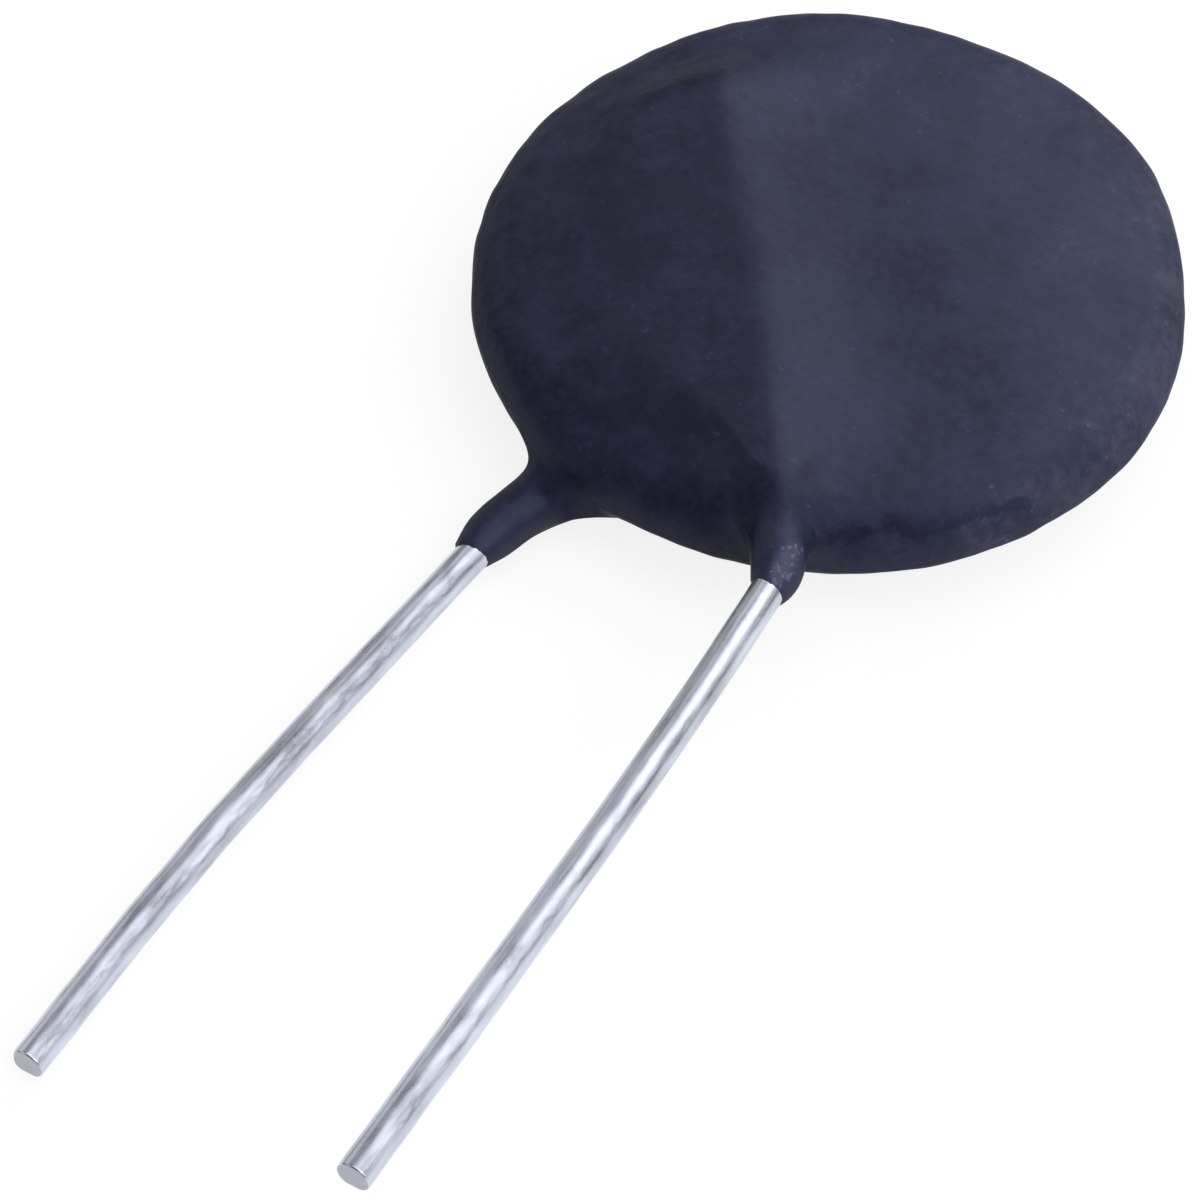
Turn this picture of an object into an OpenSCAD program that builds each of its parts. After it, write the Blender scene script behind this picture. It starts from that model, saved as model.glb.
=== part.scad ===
// Disc thermistor with two radial leads.
// A sintered ceramic disc carries a fired metal film on each face. A tinned copper
// wire is soldered across each film, and the whole is dipped in resin, which leaves
// a ridge over each wire and a short neck where the wire comes out.
//
// The part lies on its back: +Z is up, the leads run along -Y, and the origin is the
// centre of the underside of its bounding box. Millimetres.
//
// Every piece is drawn about the centre of the ceramic disc, and placed() moves the
// finished piece to the origin above. The rear half is the front half turned half a
// turn about Y, so each half takes its own values for its lead.

/* [Ceramic disc] */
// Diameter of the ceramic disc
disc_d = 20; // [16:0.5:25]
// Thickness of the ceramic disc
disc_t = 2; // [1.4:0.1:3]

/* [Electrodes] */
// Bare margin between the edge of the film and the edge of the disc
film_margin = 0.5; // [0.3:0.1:1.2]
// Thickness of the film on each face
film_t = 0.05; // [0.03:0.01:0.1]

/* [Leads] */
// Diameter of the tinned wire
wire_d = 1; // [0.7:0.05:1.1]
// Distance between the elbows of the two wires, across the disc
elbow_pitch = 8.9; // [6:0.1:10]
// Distance from the middle of the pair of elbows to the centre line of the disc
pair_offset = 0.4; // [0:0.05:0.8]
// Distance from the edge of the coating to the elbow of each wire
elbow_drop = 0.5; // [0.2:0.1:0.8]
// Radius of each elbow, along the middle of the wire
elbow_r = 2; // [1.5:0.25:3]
// Slant of the soldered run, away from the leads' direction
slant_angle = 35; // [25:1:40]
// Length of the slanted run, from the elbow to the inner end of the wire
slant_l = 17.5; // [13:0.5:18]
// Distance from the edge of the coating to the tips of the leads
lead_l = 23.6; // [19:0.2:30]

/* [Front lead] */
// Outward slant of the front wire as it leaves the coating
front_splay = 3.3; // [1.5:0.1:6]
// Distance from the elbow to the slight bend, along the part
front_kink_drop = 7.6; // [5:0.2:9]
// Angle by which the front wire bends back
front_kink = 2; // [0.5:0.1:6]
// Length of the neck of resin on the front wire, past the edge of the coating
front_neck_l = 1.5; // [1.2:0.1:3]

/* [Rear lead] */
// Outward slant of the rear wire as it leaves the coating
rear_splay = 3.4; // [1.5:0.1:6]
// Distance from the elbow to the slight bend, along the part
rear_kink_drop = 15.6; // [5:0.2:17]
// Angle by which the rear wire bends back
rear_kink = 3.8; // [0.5:0.1:6]
// Length of the neck of resin on the rear wire, past the edge of the coating
rear_neck_l = 2.6; // [1.2:0.1:3]

/* [Solder] */
// Thickness of the solder between the wire and the film
solder_film = 0.05; // [0.03:0.01:0.1]
// Thickness of the solder over the wire
solder_skin = 0.1; // [0.06:0.01:0.15]
// Width of the foot of the solder, on the film
solder_w = 2.2; // [1.8:0.1:3]
// Length of solder past the inner end of the wire
solder_tail = 0.6; // [0.4:0.1:1]
// Bare margin between the solder and the edge of the film
solder_margin = 0.3; // [0.2:0.1:0.8]

/* [Coating] */
// Thickness of the resin over each film, towards its edge
coat_face = 0.55; // [0.45:0.05:1]
// How much thicker the resin is over the middle of each film
coat_dome = 0.25; // [0.1:0.05:0.5]
// Thickness of the resin around the edge of the disc
coat_rim = 0.6; // [0.45:0.05:1]
// Height of the straight band around the edge, between its two roundings
rim_band = 0.3; // [0.2:0.05:0.6]
// Thickness of the resin over the top of each wire
coat_wire = 0.43; // [0.3:0.05:0.6]
// Width of the skirt that falls from each ridge towards the other wire
inner_skirt = 9; // [7:0.5:11]
// Width of the skirt on the other side of the ridge
outer_skirt = 5; // [3.5:0.5:7]
// Length over which each ridge sinks, past the inner end of its wire
ridge_end_l = 2.5; // [1.5:0.25:3]
// Radius of the hollows beside each flare
ridge_hollow_r = 2.2; // [1.5:0.1:3]
// Thickness of the resin around the wire, in the neck
neck_wall = 0.35; // [0.25:0.05:0.5]
// Radius of the flare from the neck to the edge of the disc
neck_flare_r = 1; // [0.7:0.1:1.2]
// Distance from the elbow back to the narrow end of the flare
flare_stop = 0.6; // [0.4:0.1:1]
// Length of the taper at the end of the neck, or less on a short neck
lip_taper = 0.7; // [0.4:0.1:0.7]
// Thickness of the resin at the end of the neck
neck_lip = 0.06; // [0.06:0.02:0.16]

/* [Hidden] */
$fn = 96;

wire_r = wire_d / 2;
film_r = disc_d / 2 - film_margin;
film_z = disc_t / 2 + film_t;
wire_z = film_z + solder_film + wire_r;
face_z = film_z + coat_face;
crest_z = wire_z + wire_r + coat_wire;
coat_r = disc_d / 2 + coat_rim;
rim_r = face_z - rim_band / 2;
face_r = coat_r - rim_r;
elbow_y = -(coat_r + elbow_drop);
tip_y = -(coat_r + lead_l);
front_elbow_x = elbow_pitch / 2 + pair_offset;
rear_elbow_x = elbow_pitch / 2 - pair_offset;

// Rounded forms bite this far into each other, so that they cross and don't just touch
bite = 0.03 * wire_d;
// A bend is fatter than its rod by this much all round, and the rod laps into it
swell = 0.01 * wire_d;
lap = 0.1 * wire_d;
crest_r = wire_r + coat_wire;
// Near the edge of the coating the skirts fall to its rounding, over these shares of it
skirt_share = 0.4;
fall_share = 0.8;
skirt_r = face_r + skirt_share * rim_r;
fall_from_r = skirt_r - fall_share * rim_r;
skirt_z = rim_band / 2 + rim_r * sqrt(1 - pow(skirt_share, 2)) - bite;
neck_r = wire_r + neck_wall;
boss_r = neck_r + neck_flare_r;
// The foot of the solder, and the hollows beside a flare, meet their round tops at this
// share of the top's radius, above the middle of the wire
shoulder_share = 0.5;

// Radius of the dome on each face
rise = coat_dome + bite;
dome_r = (pow(face_r, 2) + pow(rise, 2)) / (2 * rise);

// Height of the middle of the hollows beside a crest that run down to foot_z
function hollow_z(foot_z) = foot_z - bite + ridge_hollow_r;

// Distance from the middle of a crest to the lowest line of each hollow
function foot_x(crest, foot_z) =
    sqrt(pow(crest + ridge_hollow_r - bite, 2) - pow(hollow_z(foot_z) - wire_z, 2));

// Straight stretch lost to the rounding at each side of an elbow
function elbow_run(splay) = elbow_r * tan((slant_angle - splay) / 2);

// Distance from an elbow, along its slanted run, to the edge of the flat face
function neck_root(elbow_x) =
    let (middle = elbow_x * sin(slant_angle) - elbow_y * cos(slant_angle),
         off_line = elbow_x * cos(slant_angle) + elbow_y * sin(slant_angle))
    middle - sqrt(pow(face_r, 2) - pow(off_line, 2));

// Where a skirt of width w leaves its crest, a little inside the round
function skirt_top(w) =
    let (slope = atan((crest_z - face_z) / w))
    (crest_r - bite) * [sin(slope), cos(slope)] + [0, wire_z];

// Moves the finished part to its origin
module placed() {
    translate([0, -(coat_r + tip_y) / 2, crest_z])
        children();
}

// Puts a form drawn about the front wire's elbow in its place
module at_front_elbow() {
    translate([front_elbow_x, elbow_y, wire_z])
        children();
}

// Puts a form drawn about the rear wire's elbow in its place
module at_rear_elbow() {
    rotate([0, 180, 0])
        translate([rear_elbow_x, elbow_y, wire_z])
            children();
}

// Straight rod along a heading, which is measured outwards from -Y
module straight(heading, from, l, d) {
    rotate([0, 0, heading])
        translate([0, -from, 0])
            rotate([90, 0, 0])
                cylinder(d = d, h = l);
}

// The slanted run and the rounded elbow, of the wire or of the resin around it
module slanted_run(splay, d) {
    bend = slant_angle - splay;
    straight(slant_angle, -slant_l, slant_l - elbow_run(splay) + lap, d);
    rotate([0, 0, slant_angle])
        translate([-elbow_r, elbow_run(splay), 0])
            rotate([0, 0, -bend])
                rotate_extrude(angle = bend)
                    translate([elbow_r, 0])
                        circle(d = d + 2 * swell);
}

// A whole wire about its elbow
module wire(splay, kink, kink_drop) {
    splayed_from = elbow_run(splay) - lap;
    slanted_run(splay, wire_d);
    straight(splay, splayed_from, kink_drop / cos(splay) - splayed_from, wire_d);
    translate(kink_drop * [tan(splay), -1, 0]) {
        sphere(r = wire_r + swell);
        straight(splay - kink, 0, (elbow_y - tip_y - kink_drop) / cos(splay - kink), wire_d);
    }
}

module front_wire() {
    at_front_elbow()
        wire(front_splay, front_kink, front_kink_drop);
}

module rear_wire() {
    at_rear_elbow()
        wire(rear_splay, rear_kink, rear_kink_drop);
}

module ceramic_form() {
    cylinder(d = disc_d, h = disc_t, center = true);
}

module front_film() {
    translate([0, 0, disc_t / 2])
        cylinder(r = film_r, h = film_t);
}

// Section across the solder, from the film up: a skin around the wire on a wide foot
module solder_section() {
    intersection() {
        translate([0, wire_z])
            circle(r = wire_r + solder_skin);
        translate([-wire_d, film_z])
            square(2 * wire_d);
    }
    polygon([[-solder_w / 2, film_z], [solder_w / 2, film_z],
             [wire_r, wire_z + shoulder_share * wire_r],
             [-wire_r, wire_z + shoulder_share * wire_r]]);
}

// Solder along a slanted run, about the elbow, with the wire's own room filled
module solder_form() {
    solder_l = slant_l + solder_tail;
    rotate([0, 0, slant_angle])
        translate([0, solder_l, -wire_z])
            rotate([90, 0, 0])
                linear_extrude(height = solder_l)
                    solder_section();
}

// Keeps solder on its film, clear of the film's edge
module on_film() {
    intersection() {
        children();
        cylinder(r = film_r - solder_margin, h = 2 * crest_z, center = true);
    }
}

module front_solder_form() {
    on_film()
        at_front_elbow()
            solder_form();
}

module rear_solder_form() {
    on_film()
        at_rear_elbow()
            solder_form();
}

// Section across a ridge: a crest that rounds the wire, between two straight skirts
module ridge_section() {
    translate([0, wire_z])
        circle(r = crest_r);
    polygon([[-inner_skirt, 0], [outer_skirt, 0], [outer_skirt, face_z],
             skirt_top(outer_skirt), skirt_top(-inner_skirt), [-inner_skirt, face_z]]);
}

// The ridge over a slanted run, about the elbow, sinking past the inner end of the wire
module ridge() {
    ridge_l = slant_l + ridge_end_l;
    rotate([0, 0, slant_angle])
        translate([0, 0, -wire_z])
            intersection() {
                translate([0, ridge_l + lap, 0])
                    rotate([90, 0, 0])
                        linear_extrude(height = ridge_l + lap)
                            ridge_section();
                translate([-inner_skirt - lap, 0, 0])
                    rotate([90, 0, 90])
                        linear_extrude(height = inner_skirt + outer_skirt + 2 * lap)
                            polygon([[-lap, -lap], [ridge_l, -lap], [ridge_l, face_z],
                                     [slant_l, crest_z + lap], [-lap, crest_z + lap]]);
            }
}

// Keeps the skirts on the disc, falling to the rounding at its edge
module on_disc() {
    intersection() {
        children();
        rotate_extrude()
            polygon([[0, -crest_z - lap], [fall_from_r, -crest_z - lap], [skirt_r, -skirt_z],
                     [skirt_r, skirt_z], [fall_from_r, crest_z + lap], [0, crest_z + lap]]);
    }
}

// Half section along a neck: a boss in the edge of the disc and a flare down to the wire
module flare_section(boss_l) {
    difference() {
        square([boss_r, boss_l + neck_flare_r]);
        translate([boss_r - bite, boss_l + neck_flare_r])
            circle(r = neck_flare_r);
    }
}

// Half section of a neck past its flare: a plain stretch and a tapered lip
module lip_section(plain_l, taper_l) {
    polygon([[0, 0], [neck_r, 0], [neck_r, plain_l],
             [wire_r + neck_lip, plain_l + taper_l], [0, plain_l + taper_l]]);
}

// Section of the roof over a flare, from base_z up: a crest, and hollows down to foot_z
module roof_section(crest, base_z, foot_z) {
    foot = foot_x(crest, foot_z);
    translate([0, wire_z])
        circle(r = crest);
    difference() {
        translate([-foot, base_z])
            square([2 * foot, wire_z + shoulder_share * crest - base_z]);
        for (side = [-1, 1])
            translate([side * foot, hollow_z(foot_z)])
                circle(r = ridge_hollow_r);
    }
}

// The flare about the elbow: it widens along the slanted run, under its roof
module flare(elbow_x) {
    l = neck_root(elbow_x) - flare_stop;
    rotate([0, 0, slant_angle])
        translate([0, neck_root(elbow_x), 0])
            intersection() {
                rotate([90, 0, 0])
                    rotate_extrude()
                        flare_section(l - neck_flare_r);
                translate([0, 0, -wire_z])
                    rotate([90, 0, 0])
                        linear_extrude(height = l)
                            roof_section(crest_r - bite, -face_z, wire_z - neck_r);
            }
}

// A neck about the elbow, down to its lip on the splayed run
module neck(elbow_x, splay, neck_l) {
    plain_from = elbow_run(splay) - lap;
    free_l = (neck_l - elbow_drop) / cos(splay) - plain_from;
    taper_l = min(lip_taper, free_l - lap);
    slanted_run(splay, 2 * neck_r);
    flare(elbow_x);
    rotate([0, 0, splay])
        translate([0, -plain_from, 0])
            rotate([90, 0, 0])
                rotate_extrude()
                    lip_section(free_l - taper_l, taper_l);
}

// Half section of the coated disc, with domed faces and its edge rounded over
module disc_section() {
    intersection() {
        translate([0, -crest_z])
            square([face_r, 2 * crest_z]);
        translate([0, face_z + coat_dome - dome_r])
            circle(r = dome_r, $fn = 1440);
        translate([0, dome_r - face_z - coat_dome])
            circle(r = dome_r, $fn = 1440);
    }
    translate([face_r, 0]) {
        for (side = [-1, 1])
            translate([0, side * rim_band / 2])
                circle(r = rim_r);
        translate([0, -rim_band / 2])
            square([rim_r, rim_band]);
    }
}

module resin_outside() {
    rotate_extrude()
        disc_section();
    on_disc() {
        at_front_elbow()
            ridge();
        at_rear_elbow()
            ridge();
    }
    at_front_elbow()
        neck(front_elbow_x, front_splay, front_neck_l);
    at_rear_elbow()
        neck(rear_elbow_x, rear_splay, rear_neck_l);
}

module coating() {
    color([0.17, 0.18, 0.24])
        placed()
            difference() {
                resin_outside();
                ceramic_form();
                front_film();
                mirror([0, 0, 1])
                    front_film();
                front_solder_form();
                rear_solder_form();
                front_wire();
                rear_wire();
            }
}

module ceramic_disc() {
    color([0.24, 0.23, 0.23])
        placed()
            ceramic_form();
}

module front_electrode() {
    color([0.8, 0.79, 0.76])
        placed()
            front_film();
}

module rear_electrode() {
    color([0.8, 0.79, 0.76])
        placed()
            mirror([0, 0, 1])
                front_film();
}

module front_solder() {
    color([0.66, 0.67, 0.7])
        placed()
            difference() {
                front_solder_form();
                front_wire();
            }
}

module rear_solder() {
    color([0.66, 0.67, 0.7])
        placed()
            difference() {
                rear_solder_form();
                rear_wire();
            }
}

module front_lead() {
    color([0.74, 0.77, 0.84])
        placed()
            front_wire();
}

module rear_lead() {
    color([0.74, 0.77, 0.84])
        placed()
            rear_wire();
}

coating();
ceramic_disc();
front_electrode();
rear_electrode();
front_solder();
rear_solder();
front_lead();
rear_lead();
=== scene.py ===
# Looks of a disc thermistor: the dipped resin coat with its ridges and necks, and the tinned leads.
import math
import bpy
import numpy as np
from mathutils import Matrix, Vector


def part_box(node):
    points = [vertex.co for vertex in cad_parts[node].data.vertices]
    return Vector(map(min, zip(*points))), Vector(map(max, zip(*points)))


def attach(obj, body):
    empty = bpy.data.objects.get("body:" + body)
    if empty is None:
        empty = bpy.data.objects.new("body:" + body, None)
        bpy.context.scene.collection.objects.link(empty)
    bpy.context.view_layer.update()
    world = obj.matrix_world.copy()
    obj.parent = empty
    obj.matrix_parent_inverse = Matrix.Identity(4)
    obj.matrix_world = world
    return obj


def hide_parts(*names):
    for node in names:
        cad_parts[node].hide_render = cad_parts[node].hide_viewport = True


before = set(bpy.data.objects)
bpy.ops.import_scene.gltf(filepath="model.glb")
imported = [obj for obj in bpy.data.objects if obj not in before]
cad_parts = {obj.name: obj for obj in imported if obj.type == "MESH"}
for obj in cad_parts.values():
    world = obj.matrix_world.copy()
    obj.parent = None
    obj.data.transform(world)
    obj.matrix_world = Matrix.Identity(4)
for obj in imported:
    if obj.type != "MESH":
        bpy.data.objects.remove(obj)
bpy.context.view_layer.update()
print("frame loaded:", len(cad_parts), "nodes")

mm = 0.001


def boxOf(node):
    # lowest and highest corner of a solid, in millimetres
    return [np.array(corner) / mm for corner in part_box(node)]


# every place below is in millimetres about the middle of the ceramic disc
middle = sum(boxOf("ceramic_disc")) / 2
coatLow, coatHigh = boxOf("coating")
coatRadius = (coatHigh[0] - coatLow[0]) / 2


def placeInFrame(points):
    # millimetres about the disc's middle become metres in the shared frame
    return (points + middle) * mm


def closedFaces(rows, columns, turned=False):
    # faces of a grid whose rows run round: four corners each, and a fan of triangles that closes
    # each end, to the two points that follow the grid's. turned swaps inside and outside
    index = np.arange(rows * columns).reshape(rows, columns)
    nextIndex = np.roll(index, -1, 1)
    first, last = (np.full(columns, rows * columns + k) for k in range(2))
    quads = np.stack([index[:-1], index[1:], nextIndex[1:], nextIndex[:-1]], axis=2)
    parts = [quads.reshape(-1, 4), np.stack([first, index[0], nextIndex[0]], axis=1),
             np.stack([last, nextIndex[-1], index[-1]], axis=1)]
    if turned:
        parts = [np.roll(part[:, ::-1], 1, axis=1) for part in parts]
    return sum((part.tolist() for part in parts), [])


def makePiece(name, points, faces, material, node):
    mesh = bpy.data.meshes.new(name)
    mesh.from_pydata(placeInFrame(points), [], faces)
    mesh.polygons.foreach_set("use_smooth", np.ones(len(mesh.polygons), bool))
    mesh.materials.append(material)
    mesh.validate()
    mesh.update()
    piece = bpy.data.objects.new(name, mesh)
    bpy.context.scene.collection.objects.link(piece)
    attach(piece, "root")
    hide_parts(node)
    print(name, "made:", len(mesh.vertices), "points", len(mesh.polygons), "faces")
    return piece


def heading(degrees):
    # a flat direction, turned outwards from -Y
    turn = math.radians(degrees)
    return np.array([math.sin(turn), -math.cos(turn), 0.0])


def smoothStep(value, low, high):
    # 0 below low and 1 above high, with three squares less two cubes of the share between them
    share = np.clip((value - low) / (high - low), 0, 1)
    return share * share * (3 - 2 * share)


def waveSum(seed, count, longest, shortest):
    # a sum of sine waves in random directions, each as strong as its length to the power given
    # below, over the root of half the sum of the strengths' squares, so that it is about one high.
    # What comes back works it out for rows of three coordinates
    power = 0.7
    rng = np.random.default_rng(seed)
    lengths = longest * (shortest / longest) ** rng.random(count)
    directions = rng.normal(size=(count, 3))
    directions /= np.linalg.norm(directions, axis=1)[:, None]
    phases = rng.random(count) * 2 * math.pi
    strengths = (lengths / longest) ** power
    turns = (directions / lengths[:, None] * 2 * math.pi).T

    def value(points):
        total = np.sin(points @ turns + phases) @ strengths
        return total / math.sqrt((strengths ** 2).sum() / 2)
    return value


# both wires run across a face of the disc, bend at the elbow outside its edge, and run on freely
wire = dict(
    radius=0.5,
    slant=35,               # turn of the run across the face, in degrees
    slantLength=17.4,       # from the elbow to the inner end
    around=72,              # points round the wire
    freeStep=0.07,          # distance between rings on the free wire
    hiddenStep=0.35,        # and inside the coat
    pathStep=0.02,          # between the points of the line that the rings follow
    cornerRun=1.4,          # length over which a corner of that line is rounded
    unevenness=0.0035,
    waves=(40, 2.6, 0.55),  # of the unevenness: number, longest, shortest
    waveShare=0.7,          # below 1, the waves are longer along the wire
    tipRun=0.45,            # length over which the cut flattens the wire
    leastFacing=0.05,       # cosine past which a flat at the tip cuts nothing
    edgeRound=0.06,         # radius of the edge of the cut face
    edgeRings=6,
    faceRings=9,            # rings on the cut face
    faceHub=0.12,           # the smallest of them, as a share of the wire
)
# each lead as seen from its own face, with its outer side towards +X. splay is the turn of its free
# run, and way has the points that the middle of that run passes, across and along the part. Each
# flat at the tip is given by the direction that it faces, in degrees, and its depth
leads = dict(
    front=dict(
        side=1, node="front_lead", name="frontLeadWire", seed=21,
        elbow=(4.87, -11.12), splay=3.3, neckLength=1.5,
        way=[(4.99, -12.9), (5.21, -16.4), (5.4, -21.0), (5.5, -25.0), (5.6, -29.5)],
        tipAcross=5.68, tipFlats=[(-90, 0.11), (150, 0.03)]),
    rear=dict(
        side=-1, node="rear_lead", name="rearLeadWire", seed=34,
        elbow=(4.05, -11.1), splay=3.6, neckLength=2.62,
        way=[(4.26, -14.3), (4.47, -17.5), (4.7, -21.0), (4.91, -25.0), (4.965, -29.0)],
        tipAcross=4.88, tipFlats=[(90, 0.12), (0, 0.09)]),
)
for lead in leads.values():
    low, high = boxOf(lead["node"])
    lead["height"] = abs((low[2] + high[2]) / 2 - middle[2])
    lead["tipAlong"] = low[1] - middle[1]


def leadPath(lead):
    # straight runs between the points, with the corners rounded by a running mean
    start = np.array(lead["elbow"]) - heading(wire["slant"])[:2] * wire["slantLength"]
    way = np.array([start, lead["elbow"], *lead["way"], (lead["tipAcross"], lead["tipAlong"])])
    reach = np.concatenate([[0], np.cumsum(np.linalg.norm(np.diff(way, axis=0), axis=1))])
    fine = np.arange(0, reach[-1], wire["pathStep"])
    window = np.hanning(int(wire["cornerRun"] / wire["pathStep"]) | 1)
    window /= window.sum()
    half = len(window) // 2
    smooth = []
    for axis in range(2):
        line = np.interp(fine, reach, way[:, axis])
        before, after = 2 * line[0] - line[half:0:-1], 2 * line[-1] - line[-2:-half - 2:-1]
        smooth.append(np.convolve(np.concatenate([before, line, after]), window, "valid"))
    return fine, np.stack(smooth, axis=1), reach[1]


def leadRings(hiddenLength, total):
    # the place of each ring along the wire, how far it is drawn in for the round edge of the cut,
    # and its share of the full size, which falls towards the middle of the cut face
    edge = wire["edgeRound"]
    body = np.concatenate([np.arange(0, hiddenLength, wire["hiddenStep"]),
                           np.arange(hiddenLength, total - edge, wire["freeStep"])])
    rounding = np.linspace(0, math.pi / 2, wire["edgeRings"])
    face = np.linspace(1, wire["faceHub"], wire["faceRings"])[1:]
    station = np.concatenate([
        body, total - edge + edge * np.sin(rounding), np.full(len(face), total)])
    inset = np.concatenate([
        np.zeros(len(body)), edge * (1 - np.cos(rounding)), np.full(len(face), edge)])
    share = np.concatenate([np.ones(len(body) + len(rounding)), face])
    return station, inset, share


def makeLead(lead, material):
    # a circle carried along the path. Waves make its radius uneven, and near the tip each flat cuts
    # it down to the flat's distance from the middle over the cosine of the turn away from it
    fine, line, hiddenLength = leadPath(lead)
    total = fine[-1]
    station, inset, share = leadRings(hiddenLength, total)
    centre = np.stack([np.interp(station, fine, column) for column in line.T], axis=1)
    slopes = [np.gradient(column, fine) for column in line.T]
    ahead = np.stack([np.interp(station, fine, slope) for slope in slopes], axis=1)
    ahead /= np.linalg.norm(ahead, axis=1)[:, None]
    turn = np.linspace(0, 2 * math.pi, wire["around"], endpoint=False)
    rows, columns = len(station), len(turn)
    local = np.stack(np.broadcast_arrays(
        wire["radius"] * np.cos(turn), wire["radius"] * np.sin(turn),
        wire["waveShare"] * station[:, None]), axis=2)
    waves = waveSum(lead["seed"], *wire["waves"])(local.reshape(-1, 3)).reshape(rows, columns)
    radius = wire["radius"] - inset[:, None] + wire["unevenness"] * waves
    nearTip = smoothStep(station, total - wire["tipRun"], total)[:, None]
    for direction, depth in lead["tipFlats"]:
        facing = np.maximum(np.cos(turn - math.radians(direction)), wire["leastFacing"])
        radius = np.minimum(radius, (wire["radius"] - depth * nearTip) / facing)
    radius = radius * share[:, None]
    outer = np.stack([-ahead[:, 1], ahead[:, 0]], axis=1)
    across = centre[:, None, :] + outer[:, None, :] * (radius * np.cos(turn))[..., None]
    height = lead["height"] + radius * np.sin(turn)
    points = np.concatenate([across, height[..., None]], axis=2).reshape(-1, 3)
    ends = np.column_stack([centre[[0, -1]], np.full(2, lead["height"])])
    points = np.concatenate([points, ends]) * [lead["side"], 1, lead["side"]]
    faces = closedFaces(rows, columns, turned=True)
    return makePiece(lead["name"], points, faces, material, lead["node"])


# the coat is a pill with a ridge on each face and a neck on each wire
coat = dict(
    faceHeight=1.26,        # half thickness at the rim
    dome=0.55,              # how much thicker the middle is
    domePower=2.6,
    rimRadius=1.2,
    crestDrop=0.06,         # a ridge's crest lies this far below the solid's, under its lumps
    crestRound=0.3,         # half width of the rounded top of a ridge
    innerSkirt=(8.5, 1.2),  # width and softness of a ridge's skirt towards the other wire
    outerSkirt=(2.7, 0.8),  # and on the other side
    crestDrift=0.6,         # how far the inner end of a ridge drifts off its wire
    ridgeFade=(0.3, 4.4),   # a ridge sinks between these distances past the inner end of its wire
    rimFade=(-3.6, -0.3),   # its skirts sink between these distances from the edge
    crestFade=(-1.1, 1.0),  # and its crest between these
    crestWidth=1.3,         # how far beside the wire its crest counts as such
    neckRadius=0.81,
    neckTaper=1.3,          # length over which a neck thins towards its end
    neckLip=0.04,           # height of the lip at its end
    lipRun=(-0.02, 0.1),    # and where the lip rises
    neckEndSlant=0.2,       # a neck reaches further on its outer side
    capLength=0.35,         # length of the hidden cap that closes a neck inside its wire
    capShare=0.96,          # its size, as a share of the wire
    bendRadius=5.0,         # of the wide bend at the elbow
    rootLength=2.2,         # how far a neck's round form reaches into the disc
    neckBlend=2.5,          # width of the fillet beside a neck
    crestBlend=0.3,         # and on top, where the neck runs into the ridge
    blendDrop=0.1,          # how far under the crest the fillet has become that narrow
    faceLumps=0.018,        # height of the lumps all over
    faceWaves=(3, 24, 9.0, 2.2),  # their seed, number, longest and shortest
    rimLumps=0.012,
    rimWaves=(8, 30, 2.4, 0.7),
    rimFrom=(7.6, 9.6),     # distances from the axis between which the rim's lumps begin
    # the edge runs slightly out of round: waves in a turn, height, direction of the highest
    edgeWaves=[(1, 0.028, 86), (3, 0.043, -57), (4, 0.020, -127), (5, 0.049, -58), (6, 0.026, 32),
               (7, 0.022, 118)],
)
crestHeight = coatHigh[2] - middle[2] - coat["crestDrop"]
faceLumps = waveSum(*coat["faceWaves"])
rimLumps = waveSum(*coat["rimWaves"])


def softUnion(a, b, width):
    # the smaller of two distances, less a sixth of the width times the cube of how near they are
    near = np.maximum(width - np.abs(a - b), 0) / width
    return np.minimum(a, b) - near ** 3 * width / 6


def skirtFall(across, width, softness):
    # falls evenly from 1 at a crest to 0 at the given width, with the foot rounded off
    return np.logaddexp(0, (width - across) / softness) * softness / width


def faceHeightAt(x, y, lead):
    # height of a face over the middle plane: a low dome, which falls with a power of the distance
    # from the axis, and a tent over the wire, whose skirts fall evenly on each side of a rounded
    # crest. The tent sinks past the inner end of the wire and towards the edge
    reach = np.hypot(x, y)
    domeShare = 1 - np.minimum(reach / coatRadius, 1) ** coat["domePower"]
    base = coat["faceHeight"] + coat["dome"] * domeShare
    slant = math.radians(wire["slant"])
    fromElbowX, fromElbowY = x - lead["elbow"][0], y - lead["elbow"][1]
    across = fromElbowX * math.cos(slant) + fromElbowY * math.sin(slant)
    inward = -fromElbowX * math.sin(slant) + fromElbowY * math.cos(slant)
    innerHalf = smoothStep(inward, wire["slantLength"] / 2, wire["slantLength"])
    drifted = across + coat["crestDrift"] * innerHalf
    rounded = np.hypot(drifted, coat["crestRound"]) - coat["crestRound"]
    innerFall = skirtFall(rounded, *coat["innerSkirt"])
    outerFall = skirtFall(rounded, *coat["outerSkirt"])
    outerShare = 0.5 + 0.5 * np.tanh(drifted / coat["crestRound"])
    fall = innerFall + (outerFall - innerFall) * outerShare
    fade = 1 - smoothStep(inward - wire["slantLength"], *coat["ridgeFade"])
    overWire = np.exp(-(across / coat["crestWidth"]) ** 2) * (1 - innerHalf)
    fadeFrom, fadeTo = (coatRadius + beside + (over - beside) * overWire
                        for beside, over in zip(coat["rimFade"], coat["crestFade"]))
    fade *= 1 - smoothStep(reach, fadeFrom, fadeTo)
    return base + (crestHeight - base) * fall * fade


def neckReach(lead):
    # from the elbow to the end of the neck
    return lead["neckLength"] - (-lead["elbow"][1] - coatRadius)


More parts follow.
